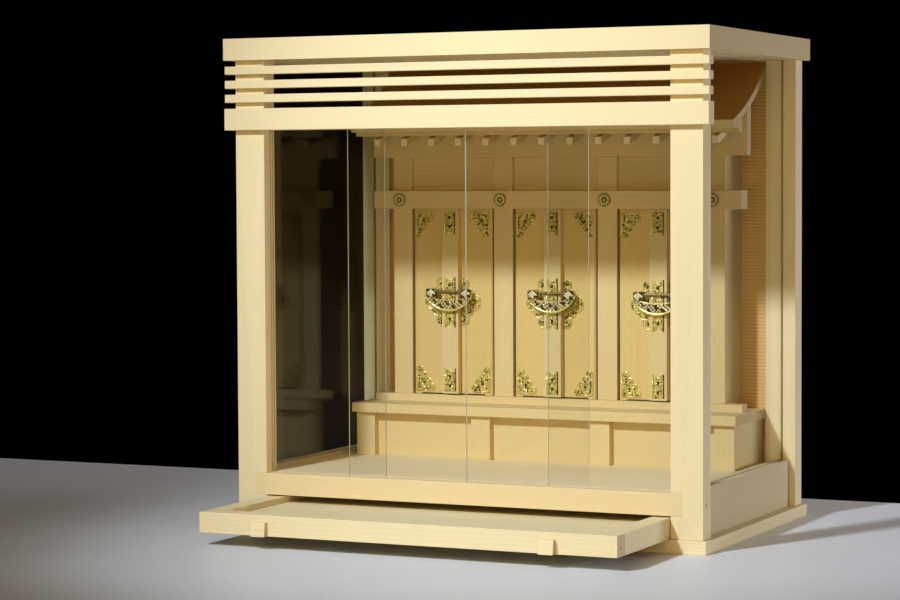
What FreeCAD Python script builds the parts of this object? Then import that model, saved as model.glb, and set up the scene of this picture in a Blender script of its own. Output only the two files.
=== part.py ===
import FreeCAD
import Part
import math
import os

from FreeCAD import Vector

# Household shrine in a glazed case: three small shrines with paired doors stand
# on a stepped pedestal, behind four sliding panes, over a shallow pull-out tray.
# X runs to the right, Y to the back and Z up. The origin is the centre of the foot.

# Case posts and plinth
case_w = 515.0
case_d = 313.0
post_h = 474.5
post_w = 33.5
post_t = 22.0
plinth_h = 13.0
plinth_w = 24.0
plinth_out = 4.7

# Top board
top_t = 22.5
top_side_out = 9.5
top_front_out = 8.5
top_corner_r = 3.0

# Header board and the slats above it, let into the fronts of the posts
header_h = 22.4
header_t = 15.0
header_let_in = 6.7
header_drop = 50.0
trim_out = 8.8
slat_count = 3
slat_h = 8.3
slat_t = 12.0
slat_let_in = 5.0

# Front sill, floor and side boards
sill_z = 35.5
sill_h = 22.5
sill_lap_w = 12.0
sill_lap_t = 9.0
floor_t = 8.0
side_board_t = 16.0
side_board_lip = 4.2
back_t = 5.0
back_inset = 10.0
back_groove = 4.0

# Glass
glass_t = 2.0
glass_play = 0.4
fixed_play = 0.2
fixed_bite = 4.5
fixed_groove = 5.0
track_front = 13.6
track_step = 4.6
track_depth = 3.0
track_lift = 0.3
head_groove = 12.0
head_bite = 6.0
post_groove = 3.5
pane_bite = 2.5
pane_overlap = 40.0
pane_meet = 0.5
pane_4_open = 5.5

# Tray, drawn as pulled out in front of the case
tray_out = 139.3
tray_len = 280.0
tray_h = 20.7
tray_rail = 20.0
tray_play = 0.7
tray_lift = 0.3
tray_panel_t = 4.0
tray_recess = 6.5
tray_groove = 4.0
pull_w = 15.5
pull_h = 14.0
pull_foot_t = 7.0
pull_head_t = 5.0
pull_x = 153.7

# Pedestal
ped_depth = 103.6
ped_leg_h = 47.7
ped_top_t = 10.3
ped_play = 0.2
leg_w = 22.3
leg_t = 16.0
leg_inset = 3.5
leg_setback = 5.6
skirt_setback = 8.0
skirt_t = 6.0
ped_side_t = 6.0

# Shrine: sill, pillars, lintel, frieze, beam
shrine_depth = 54.0
shrine_inset = 29.0
shrine_sill_h = 8.0
shrine_sill_out = 5.5
shrine_sill_t = 17.1
shrine_sill_inset = 8.0
pillar_w = 22.5
pillar_t = 12.0
lintel_h = 19.5
lintel_t = 20.7
lintel_out = 7.7
lintel_inset = 8.5
frieze_h = 37.0
frieze_t = 5.0
frieze_setback = 5.0
side_wall_t = 6.0
beam_t = 11.7
beam_inset = 4.4
boss_r = 7.5
boss_t = 1.6
boss_petals = 12

# Roof, eave and rafters
roof_room = 100.5
roof_t = 7.5
roof_inset = 1.0
roof_head_gap = 1.0
eave_out = 56.4
eave_top_rise = 36.4
eave_face = 12.0
eave_board_t = 4.2
eave_board_w = 11.0
eave_board_setback = 19.4
roof_sag = 7.0
rafter_count = 13
rafter_w = 7.5
rafter_h = 7.9
rafter_inset = 27.2
rafter_drop = 3.4
rafter_slope = 0.33

# Door leaves
leaf_t = 6.0
leaf_setback = 0.4
leaf_gap = 2.2
leaf_meet = 0.6
leaf_under = 1.6
leaf_play = 0.4
heel_w = 9.2
pin_r = 1.5
pin_play = 0.05
pin_len = 4.0
batten_t = 8.0
batten_w = 19.8
batten_play = 0.4

# Brass fittings
plate_t = 0.8
plate_side_inset = 3.0
plate_foot_inset = 1.8
plate_head_inset = 3.7
plate_share = 0.6
plate_h = 28.5
plate_lobes = 4
plate_lobe_r = 4.4
strip_w = 13.4
strip_h = 25.7
strip_inset = 2.9
strip_mid_h = 56.0
strip_notch = 4.0
flower_share = 0.64
flower_h = 54.0
flower_play = 0.6
lock_share = 0.62
lock_rise = 8.6
lock_drop = 19.0
lock_dip = 6.4
lock_tip_cut = 3.0
lock_t = 4.0
lock_bevel = 1.0
lock_bar_r = 1.6
lock_bar_rise = 3.0
lock_head_w = 11.4
lock_head_h = 9.6
lock_head_sink = 3.4
lock_head_t = 5.0
lock_head_r = 1.5

# Values worked out from the sizes above
half_w = case_w / 2
inner = half_w - post_w
front = -case_d / 2
back = case_d / 2
top_z = plinth_h + post_h
floor_z = sill_z + sill_h
header_top = top_z - header_drop
header_z = header_top - header_h
glass_x = inner + (post_w + glass_t * 1.8) / 2
panel_y = back - back_inset - back_t
side_top = floor_z + side_board_lip
ped_top = floor_z + ped_leg_h + ped_top_t
shrine_y = panel_y - shrine_depth
door_z = ped_top + shrine_sill_h
beam_z = top_z - roof_room
frieze_z = beam_z - frieze_h
lintel_z = frieze_z - lintel_h
bay_w = (2 * inner - 2 * shrine_inset - 4 * pillar_w) / 3
bay_pitch = bay_w + pillar_w
shrine_half = inner - shrine_inset

nodes = {}


def block(x0, x1, y0, y1, z0, z1):
    return Part.makeBox(x1 - x0, y1 - y0, z1 - z0, Vector(x0, y0, z0))


def mirrored(shape):
    return shape.mirror(Vector(0, 0, 0), Vector(1, 0, 0))


def shifted(shape, x, y=0.0, z=0.0):
    moved = shape.copy()
    moved.translate(Vector(x, y, z))
    return moved


def cut_all(shape, tools):
    for tool in tools:
        shape = shape.cut(tool)
    return shape


def put(name, *shapes):
    solids = []
    for shape in shapes:
        solids.extend(shape.Solids)
    nodes[name] = solids[0] if len(solids) == 1 else Part.makeCompound(solids)


def extruded(points, direction):
    wire = Part.makePolygon(points + [points[0]])
    return Part.Face(wire).extrude(direction)


# Plinth: mitred strips round the foot with a bottom board inside them
ring_x = half_w + plinth_out
ring_y = back + plinth_out


def plinth_strip(outer_a, outer_b, inner_b, inner_a):
    points = [Vector(x, y, 0) for x, y in (outer_a, outer_b, inner_b, inner_a)]
    return extruded(points, Vector(0, 0, plinth_h))


ring_in_x = ring_x - plinth_w
ring_in_y = ring_y - plinth_w
front_strip = plinth_strip((-ring_x, -ring_y), (ring_x, -ring_y),
                           (ring_in_x, -ring_in_y), (-ring_in_x, -ring_in_y))
rear_strip = plinth_strip((ring_x, ring_y), (-ring_x, ring_y),
                          (-ring_in_x, ring_in_y), (ring_in_x, ring_in_y))
right_strip = plinth_strip((ring_x, -ring_y), (ring_x, ring_y),
                           (ring_in_x, ring_in_y), (ring_in_x, -ring_in_y))
put("plinth_long_strips", front_strip, rear_strip)
put("plinth_side_strips", right_strip, mirrored(right_strip))
put("bottom_board", block(-ring_in_x, ring_in_x, -ring_in_y, ring_in_y, 0, plinth_h))

# Recesses that the posts share with the pieces they carry
slat_gap = (header_drop - slat_count * slat_h) / (slat_count + 1)
slat_zs = [header_top + slat_gap + k * (slat_h + slat_gap) for k in range(slat_count)]
header_box = block(-half_w - trim_out, half_w + trim_out,
                   front - (header_t - header_let_in), front + header_let_in,
                   header_z, header_top)
slat_boxes = [block(-half_w - trim_out, half_w + trim_out,
                    front - (slat_t - slat_let_in), front + slat_let_in,
                    z, z + slat_h) for z in slat_zs]
sill_laps = block(-inner - sill_lap_w, inner + sill_lap_w,
                  front, front + sill_lap_t, sill_z, floor_z)
track_ys = [front + track_front, front + track_front + track_step]
track_half = glass_t / 2 + glass_play
fixed_half = glass_t / 2 + fixed_play


def track_box(track_y, reach, z0, z1):
    return block(-reach, reach, track_y - track_half, track_y + track_half, z0, z1)


# Posts
side_slot = block(glass_x - fixed_half, glass_x + fixed_half,
                  front + post_t - fixed_groove, back - post_t + fixed_groove,
                  side_top - fixed_groove, top_z + fixed_groove)
post_tracks = [track_box(y, inner + post_groove, floor_z - track_depth,
                         header_z + head_groove) for y in track_ys]
back_slot = block(-inner - back_groove, inner + back_groove,
                  panel_y, panel_y + back_t, plinth_h, top_z)
front_post = block(inner, half_w, front, front + post_t, plinth_h, top_z)
front_post = cut_all(front_post, [header_box, sill_laps, side_slot] + slat_boxes + post_tracks)
rear_post = block(inner, half_w, back - post_t, back, plinth_h, top_z)
rear_post = cut_all(rear_post, [side_slot, back_slot])
put("posts_front", front_post, mirrored(front_post))
put("posts_rear", rear_post, mirrored(rear_post))

# Header, slats and the rail behind the header that holds the tops of the panes
put("header_board", header_box)
put("louvre_slats", *slat_boxes)
head_rail = block(-inner, inner, front + header_let_in, front + post_t, header_z, header_top)
head_tracks = [track_box(y, inner, header_z, header_z + head_groove) for y in track_ys]
put("glass_head_rail", cut_all(head_rail, head_tracks))

# Top board
top_board = block(-half_w - top_side_out, half_w + top_side_out,
                  front - top_front_out, back, top_z, top_z + top_t)
rear_edges = [edge for edge in top_board.Edges
              if abs(edge.BoundBox.ZLength - top_t) < 0.01 and edge.BoundBox.YMin > 0]
top_board = top_board.makeFillet(top_corner_r, rear_edges)
top_board = cut_all(top_board, [side_slot, mirrored(side_slot)])
put("top_board", top_board)

# Front sill with the two tracks of the panes
front_sill = block(-inner, inner, front, front + post_t, sill_z, floor_z).fuse(sill_laps)
sill_tracks = [track_box(y, inner, floor_z - track_depth, floor_z) for y in track_ys]
put("front_sill", cut_all(front_sill.removeSplitter(), sill_tracks))

# Floor, lower side boards and back panel
board_in = glass_x - side_board_t / 2
board_out = glass_x + side_board_t / 2
side_board = block(board_in, board_out, front + post_t, back - post_t, plinth_h, side_top)
side_board = side_board.cut(side_slot)
put("side_boards", side_board, mirrored(side_board))
rear_post_room = block(inner, half_w, back - post_t, back, plinth_h, top_z)
floor = block(-board_in, board_in, front + post_t, panel_y, floor_z - floor_t, floor_z)
put("floor_board", cut_all(floor, [rear_post_room, mirrored(rear_post_room)]))
put("back_panel", back_slot)

# Fixed side glass
side_glass = block(glass_x - glass_t / 2, glass_x + glass_t / 2,
                   front + post_t - fixed_bite, back - post_t + fixed_bite,
                   side_top - fixed_bite, top_z + fixed_bite)
put("side_glass", side_glass, mirrored(side_glass))

# Sliding panes: the inner pair runs in the front track, the outer pair behind it
pane_reach = inner + pane_bite
pane_w = (pane_reach - pane_meet / 2 + pane_overlap) / 2
pane_z0 = floor_z - track_depth + track_lift
pane_z1 = header_z + head_bite


def pane(x0, track_y):
    return block(x0, x0 + pane_w, track_y - glass_t / 2, track_y + glass_t / 2,
                 pane_z0, pane_z1)


put("glass_pane_1", pane(-pane_reach, track_ys[1]))
put("glass_pane_2", pane(-pane_meet / 2 - pane_w, track_ys[0]))
put("glass_pane_3", pane(pane_meet / 2, track_ys[0]))
put("glass_pane_4", pane(pane_reach - pane_w - pane_4_open, track_ys[1]))

# Tray
tray_half = inner - tray_play
tray_y0 = front - tray_out
tray_y1 = tray_y0 + tray_len
tray_z0 = plinth_h + tray_lift
tray_z1 = tray_z0 + tray_h
panel_top = tray_z1 - tray_recess
tray_panel = block(-tray_half + tray_rail - tray_groove, tray_half - tray_rail + tray_groove,
                   tray_y0 + tray_rail - tray_groove, tray_y1 - tray_rail + tray_groove,
                   panel_top - tray_panel_t, panel_top)
tray_front = block(-tray_half, tray_half, tray_y0, tray_y0 + tray_rail, tray_z0, tray_z1)
tray_back = block(-tray_half, tray_half, tray_y1 - tray_rail, tray_y1, tray_z0, tray_z1)
tray_side = block(tray_half - tray_rail, tray_half, tray_y0 + tray_rail, tray_y1 - tray_rail,
                  tray_z0, tray_z1).cut(tray_panel)
put("tray_ends", tray_front.cut(tray_panel), tray_back.cut(tray_panel))
put("tray_sides", tray_side, mirrored(tray_side))
put("tray_bottom", tray_panel)


def tray_pull(x):
    profile = [(0, 0), (-pull_foot_t, 0), (-pull_head_t, pull_h), (0, pull_h)]
    points = [Vector(x - pull_w / 2, tray_y0 + y, tray_z0 + z) for y, z in profile]
    return extruded(points, Vector(pull_w, 0, 0))


put("tray_pulls", tray_pull(-pull_x), tray_pull(pull_x))

# Pedestal
ped_y = panel_y - ped_depth
leg_y = ped_y + leg_setback
skirt_y = leg_y + skirt_setback
leg_out = inner - leg_inset
leg_pitch = (2 * leg_out - leg_w) / 3
leg_xs = [-leg_out + leg_w / 2 + k * leg_pitch for k in range(4)]
leg_top = floor_z + ped_leg_h
put("pedestal_top", block(-inner + ped_play, inner - ped_play, ped_y, panel_y,
                          leg_top, ped_top))
put("pedestal_legs", *[block(x - leg_w / 2, x + leg_w / 2, leg_y, leg_y + leg_t,
                             floor_z, leg_top) for x in leg_xs])
put("pedestal_skirt", *[block(leg_xs[k] + leg_w / 2, leg_xs[k + 1] - leg_w / 2,
                              skirt_y, skirt_y + skirt_t, floor_z, leg_top)
                        for k in range(3)])
ped_side = block(leg_out - ped_side_t, leg_out, leg_y + leg_t, panel_y, floor_z, leg_top)
put("pedestal_sides", ped_side, mirrored(ped_side))

# Door positions, shared with the pivot holes in the sill and the lintel
bay_xs = [-bay_pitch, 0.0, bay_pitch]
leaf_y = shrine_y + leaf_setback
pivot_y = leaf_y + leaf_t / 2
pivot_off = bay_w / 2 - leaf_gap - leaf_t / 2
leaf_z0 = door_z + leaf_under
leaf_z1 = lintel_z - leaf_play


def pivot_holes(z0, height):
    holes = []
    for bay_x in bay_xs:
        for side in (-1, 1):
            centre = Vector(bay_x + side * pivot_off, pivot_y, z0)
            holes.append(Part.makeCylinder(pin_r + pin_play, height, centre))
    return holes


# Shrine sill, pillars, lintel and frieze
pillar_xs = [-shrine_half + pillar_w / 2 + k * bay_pitch for k in range(4)]
pillars = [block(x - pillar_w / 2, x + pillar_w / 2, shrine_y, shrine_y + pillar_t,
                 door_z, beam_z) for x in pillar_xs]
sill_y = shrine_y - shrine_sill_out
shrine_sill = block(-inner + shrine_sill_inset, inner - shrine_sill_inset,
                    sill_y, sill_y + shrine_sill_t, ped_top, door_z)
put("shrine_sill", cut_all(shrine_sill, pivot_holes(door_z - pin_len - leaf_play,
                                                    pin_len + leaf_play)))
put("shrine_pillars", *pillars)
lintel_y = shrine_y - lintel_out
lintel = block(-inner + lintel_inset, inner - lintel_inset, lintel_y, lintel_y + lintel_t,
               lintel_z, frieze_z)
lintel_holes = pivot_holes(lintel_z, pin_len + leaf_play)
put("lintel", cut_all(lintel, pillars + lintel_holes))
frieze_y = shrine_y + frieze_setback
put("frieze_panels", *[block(x - bay_w / 2, x + bay_w / 2, frieze_y, frieze_y + frieze_t,
                             frieze_z, beam_z) for x in bay_xs])


def petal_boss(x):
    petal_r = boss_r * math.sin(math.pi / boss_petals) / (1 + math.sin(math.pi / boss_petals))
    ring_r = boss_r - petal_r
    base = Part.makeCylinder(ring_r, boss_t, Vector(0, 0, 0), Vector(0, -1, 0))
    for k in range(boss_petals):
        angle = 2 * math.pi * k / boss_petals
        centre = Vector(ring_r * math.cos(angle), 0, ring_r * math.sin(angle))
        base = base.fuse(Part.makeCylinder(petal_r, boss_t, centre, Vector(0, -1, 0)))
    return shifted(base.removeSplitter(), x, lintel_y, lintel_z + lintel_h / 2)


put("lintel_bosses", *[petal_boss(x) for x in pillar_xs])

# Roof: a concave board from the thick eave up to the back panel
roof_x = inner - roof_inset
eave_y = shrine_y - eave_out
eave_z = beam_z + eave_top_rise
roof_end_z = top_z - roof_head_gap


def arc_centre(a, b, sag):
    chord = b - a
    length = chord.Length
    radius = (length * length / 4 + sag * sag) / (2 * sag)
    normal = Vector(0, -chord.z / length, chord.y / length)
    return (a + b) * 0.5 + normal * (radius - sag), radius


roof_front = Vector(0, eave_y, eave_z)
roof_rear = Vector(0, panel_y, roof_end_z)
roof_centre, roof_radius = arc_centre(roof_front, roof_rear, roof_sag)


def roof_point(y, depth):
    drop = math.sqrt((roof_radius + depth) ** 2 - (y - roof_centre.y) ** 2)
    return Vector(0, y, roof_centre.z - drop)


eave_foot = Vector(0, eave_y + eave_face * math.sqrt(0.5), eave_z - eave_face * math.sqrt(0.5))
board_y0 = eave_y + eave_board_setback
board_y1 = board_y0 + eave_board_w


def arc_edge(y0, y1, depth):
    return Part.Arc(roof_point(y0, depth), roof_point((y0 + y1) / 2, depth),
                    roof_point(y1, depth)).toShape()


def line_edge(a, b):
    return Part.LineSegment(a, b).toShape()


eave_back = Vector(0, board_y1, eave_foot.z)
roof_wire = Part.Wire([
    arc_edge(eave_y, panel_y, 0.0),
    line_edge(roof_point(panel_y, 0.0), roof_point(panel_y, roof_t)),
    arc_edge(panel_y, board_y1, roof_t),
    line_edge(roof_point(board_y1, roof_t), eave_back),
    line_edge(eave_back, eave_foot),
    line_edge(eave_foot, roof_point(eave_y, 0.0)),
])
roof = shifted(Part.Face(roof_wire).extrude(Vector(2 * roof_x, 0, 0)), -roof_x)
put("shrine_roof", roof)
put("eave_board", block(-roof_x, roof_x, board_y0, board_y1,
                        eave_foot.z - eave_board_t, eave_foot.z))

# Under-roof space, used to trim the beam and the side walls
under_wire = Part.Wire([
    arc_edge(board_y1, panel_y, roof_t),
    line_edge(roof_point(panel_y, roof_t), Vector(0, panel_y, ped_top)),
    line_edge(Vector(0, panel_y, ped_top), Vector(0, board_y1, ped_top)),
    line_edge(Vector(0, board_y1, ped_top), roof_point(board_y1, roof_t)),
])
under_roof = shifted(Part.Face(under_wire).extrude(Vector(2 * inner, 0, 0)), -inner)
beam = block(-inner + beam_inset, inner - beam_inset, shrine_y, shrine_y + beam_t,
             beam_z, top_z)
put("beam", beam.common(under_roof))
side_wall = block(shrine_half - side_wall_t, shrine_half, shrine_y + pillar_t, panel_y,
                  ped_top, top_z)
side_wall = side_wall.common(under_roof)
side_wall = side_wall.cut(nodes["lintel"])
put("shrine_sides", side_wall, mirrored(side_wall))

# Rafters: sloping sticks from the beam to the eave
rafter_y0 = board_y0
rafter_top = eave_foot.z - eave_board_t - rafter_drop
rafter_run = shrine_y - rafter_y0
rafter_span = 2 * (inner - rafter_inset)


def rafter(x):
    rise = rafter_run * rafter_slope
    profile = [(rafter_y0, rafter_top - rafter_h), (shrine_y, rafter_top - rafter_h + rise),
               (shrine_y, rafter_top + rise), (rafter_y0, rafter_top)]
    points = [Vector(x - rafter_w / 2, y, z) for y, z in profile]
    return extruded(points, Vector(rafter_w, 0, 0))


put("rafters", *[rafter(-rafter_span / 2 + k * rafter_span / (rafter_count - 1))
                 for k in range(rafter_count)])

# Door leaves. Each is drawn for a right leaf about its pivot and then placed.
leaf_reach = pivot_off - leaf_meet / 2


def leaf(side, bay_x):
    foot_z = door_z + leaf_play
    foot = Vector(0, pivot_y, foot_z)
    board = block(-leaf_reach, 0, leaf_y, leaf_y + leaf_t, leaf_z0, leaf_z1)
    heel = block(-heel_w + leaf_t / 2, 0, leaf_y, leaf_y + leaf_t, foot_z, leaf_z1)
    stile = Part.makeCylinder(leaf_t / 2, leaf_z1 - foot_z, foot)
    pin = Part.makeCylinder(pin_r, leaf_z1 - foot_z + 2 * pin_len, foot - Vector(0, 0, pin_len))
    shape = board.fuse([stile, heel, pin]).removeSplitter()
    shape = shifted(shape, pivot_off)
    if side < 0:
        shape = mirrored(shape)
    return shifted(shape, bay_x)


def batten(bay_x):
    bar = block(bay_x - batten_w / 2, bay_x + batten_w / 2, leaf_y - batten_t, leaf_y,
                leaf_z0, leaf_z1)
    rebate = block(bay_x - leaf_meet / 2, bay_x + batten_w / 2, leaf_y - batten_play, leaf_y,
                   leaf_z0, leaf_z1)
    return bar.cut(rebate)


# Brass: lobed corner plates, swallow-tailed strips, a flower-shaped plate in two
# halves beside the batten and a crescent lock on the batten
leaf_edge = bay_w / 2 - leaf_gap
bare_w = leaf_edge - batten_w / 2
plate_w = bare_w * plate_share
flower_reach = bare_w * flower_share
lock_half = leaf_edge * lock_share
middle_z = (door_z + lintel_z) / 2
outward = Vector(0, -1, 0)


def plate_face(points, y):
    wire = Part.makePolygon([Vector(x, y, z) for x, z in points + [points[0]]])
    return Part.Face(wire).extrude(Vector(0, -plate_t, 0))


def lobed(plate, lobes):
    for x, z, radius in lobes:
        plate = plate.fuse(Part.makeCylinder(radius, plate_t, Vector(x, leaf_y, z), outward))
    return plate.removeSplitter()


def corner_plate(side, up, bay_x):
    lobe_r = min(plate_lobe_r, plate_w / 4)
    run = plate_w - 2 * lobe_r
    rise = plate_h - 2 * lobe_r
    outline = [(0, 0), (plate_w - lobe_r, 0), (plate_w - lobe_r, lobe_r),
               (lobe_r, plate_h - lobe_r), (0, plate_h - lobe_r)]
    shares = [k / (plate_lobes - 1) for k in range(plate_lobes)]
    plate = lobed(plate_face(outline, leaf_y),
                  [(lobe_r + run * (1 - share), lobe_r + rise * share, lobe_r)
                   for share in shares])
    if up > 0:
        plate = plate.mirror(Vector(0, 0, 0), Vector(0, 0, 1))
        plate = shifted(plate, 0, 0, leaf_z1 - plate_head_inset)
    else:
        plate = shifted(plate, 0, 0, leaf_z0 + plate_foot_inset)
    if side > 0:
        plate = mirrored(plate)
    return shifted(plate, bay_x + side * (leaf_edge - plate_side_inset))


def strip(bay_x, z0, z1, tail_down, tail_up):
    x0 = bay_x - strip_w / 2
    x1 = bay_x + strip_w / 2
    points = [(x0, z0), (bay_x, z0 + strip_notch), (x1, z0)] if tail_down else [(x0, z0), (x1, z0)]
    points += [(x1, z1), (bay_x, z1 - strip_notch), (x0, z1)] if tail_up else [(x1, z1), (x0, z1)]
    return plate_face(points, leaf_y - batten_t)


def half_flower(side, bay_x):
    half_h = flower_h / 2
    tab_r = 0.24 * half_h
    core = [(0, -half_h + tab_r), (0.4 * flower_reach, -half_h + tab_r),
            (0.4 * flower_reach, half_h - tab_r), (0, half_h - tab_r)]
    lobes = [(0.58 * flower_reach, 0, 0.42 * flower_reach)]
    for up in (-1, 1):
        lobes.append((0.35 * flower_reach, up * half_h / 3, 0.27 * half_h))
        lobes.append((0.16 * flower_reach, up * (half_h - tab_r), tab_r))
    plate = lobed(plate_face(core, leaf_y), lobes)
    plate = plate.common(block(flower_play, flower_reach, leaf_y - plate_t, leaf_y,
                               -half_h, half_h))
    if side < 0:
        plate = mirrored(plate)
    return shifted(plate, bay_x + side * batten_w / 2, 0, middle_z)


def crescent_lock(bay_x):
    y0 = leaf_y - batten_t - plate_t
    tip_z = middle_z + lock_rise
    left_tip = Vector(bay_x - lock_half, y0, tip_z)
    right_tip = Vector(bay_x + lock_half, y0, tip_z)
    belly = Part.Arc(left_tip, Vector(bay_x, y0, tip_z - lock_drop), right_tip).toShape()
    dip = Part.Arc(right_tip, Vector(bay_x, y0, tip_z - lock_dip), left_tip).toShape()
    body = Part.Face(Part.Wire([belly, dip])).extrude(outward * lock_t)
    body = body.common(block(bay_x - lock_half + lock_tip_cut, bay_x + lock_half - lock_tip_cut,
                             y0 - lock_t, y0, tip_z - lock_drop, tip_z))
    front_edges = [edge for edge in body.Edges
                   if edge.BoundBox.YLength < 0.01 and edge.BoundBox.YMax < y0 - lock_t / 2]
    belly_rim = min(front_edges, key=lambda edge: edge.BoundBox.ZMin)
    body = body.makeChamfer(lock_bevel, [belly_rim])
    bar_z = tip_z + lock_bar_rise
    bar = Part.makeCylinder(lock_bar_r, 2 * (lock_half - lock_head_w / 2),
                            Vector(bay_x - lock_half + lock_head_w / 2, y0 - lock_t / 2, bar_z),
                            Vector(1, 0, 0))
    shape = body.fuse(bar)
    for side in (-1, 1):
        head_x = bay_x + side * (lock_half - lock_tip_cut - lock_head_w / 2)
        head = block(head_x - lock_head_w / 2, head_x + lock_head_w / 2, y0 - lock_head_t, y0,
                     tip_z - lock_head_sink, tip_z - lock_head_sink + lock_head_h)
        corners = [edge for edge in head.Edges if edge.BoundBox.YLength > lock_head_t / 2]
        shape = shape.fuse(head.makeFillet(lock_head_r, corners))
    return shape.removeSplitter()


for number, bay_x in enumerate(bay_xs, start=1):
    tag = "door_%d" % number
    put(tag + "_left", leaf(-1, bay_x))
    put(tag + "_right", leaf(1, bay_x))
    put(tag + "_batten", batten(bay_x))
    strip_z0 = leaf_z0 + strip_inset
    strip_z1 = leaf_z1 - strip_inset
    strip_low = strip(bay_x, strip_z0, strip_z0 + strip_h, False, True)
    strip_mid = strip(bay_x, middle_z - strip_mid_h / 2, middle_z + strip_mid_h / 2, True, True)
    strip_top = strip(bay_x, strip_z1 - strip_h, strip_z1, True, False)
    put("brass_%d_left" % number, corner_plate(-1, 1, bay_x), corner_plate(-1, -1, bay_x),
        half_flower(-1, bay_x), strip_low, strip_mid, strip_top)
    put("brass_%d_right" % number, corner_plate(1, 1, bay_x), corner_plate(1, -1, bay_x),
        half_flower(1, bay_x))
    put("lock_%d" % number, crescent_lock(bay_x))

os.makedirs("parts", exist_ok=True)
for name, shape in nodes.items():
    shape.exportStep("parts/%s.step" % name)
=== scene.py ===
import math

import bpy
from mathutils import Matrix, Vector


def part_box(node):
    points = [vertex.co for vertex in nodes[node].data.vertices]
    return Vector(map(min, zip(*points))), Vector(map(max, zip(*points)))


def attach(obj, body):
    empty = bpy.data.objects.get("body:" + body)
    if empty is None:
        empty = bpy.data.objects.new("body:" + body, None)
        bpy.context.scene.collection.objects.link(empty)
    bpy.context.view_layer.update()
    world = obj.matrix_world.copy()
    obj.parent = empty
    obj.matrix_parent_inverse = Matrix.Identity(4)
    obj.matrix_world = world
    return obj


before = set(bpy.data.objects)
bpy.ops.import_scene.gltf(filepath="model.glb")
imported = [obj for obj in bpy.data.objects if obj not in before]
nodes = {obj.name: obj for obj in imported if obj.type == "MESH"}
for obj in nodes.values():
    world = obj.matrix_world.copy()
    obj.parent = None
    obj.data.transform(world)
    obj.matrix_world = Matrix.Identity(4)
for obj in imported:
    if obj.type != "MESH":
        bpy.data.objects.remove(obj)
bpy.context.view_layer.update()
MM = 0.001
AXES = {"X": 0, "Y": 1, "Z": 2}

# Camera: the photograph's own view, fitted to the case. The width and focal length of the
# photograph are in pixels, the sensor in millimetres, the angles in degrees, the place in metres
PHOTO_WIDTH = 900.0
FOCAL_LENGTH = 2608.65
SENSOR_WIDTH = 36.0
AZIMUTH, PITCH, ROLL = 25.154, -2.756, -0.267
VIEWPOINT = (1.1026, -2.5292, 0.3683)


def make_camera():
    azimuth, pitch, roll = (math.radians(angle) for angle in (AZIMUTH, PITCH, ROLL))
    forward = Vector((-math.sin(azimuth) * math.cos(pitch), math.cos(azimuth) * math.cos(pitch),
                      math.sin(pitch)))
    level = Vector((math.cos(azimuth), math.sin(azimuth), 0.0))
    upright = level.cross(forward)
    right = level * math.cos(roll) + upright * math.sin(roll)
    up = upright * math.cos(roll) - level * math.sin(roll)
    data = bpy.data.cameras.new("photo_camera")
    data.sensor_fit = "HORIZONTAL"
    data.sensor_width = SENSOR_WIDTH
    data.lens = FOCAL_LENGTH / PHOTO_WIDTH * SENSOR_WIDTH
    data.clip_start = 0.05
    data.clip_end = 30.0
    camera = bpy.data.objects.new("photo_camera", data)
    turn = Matrix((right, up, -forward)).transposed().to_4x4()
    camera.matrix_world = Matrix.Translation(VIEWPOINT) @ turn
    bpy.context.scene.collection.objects.link(camera)
    bpy.context.scene.camera = camera


make_camera()
bpy.context.scene.view_settings.view_transform = "Standard"


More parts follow.
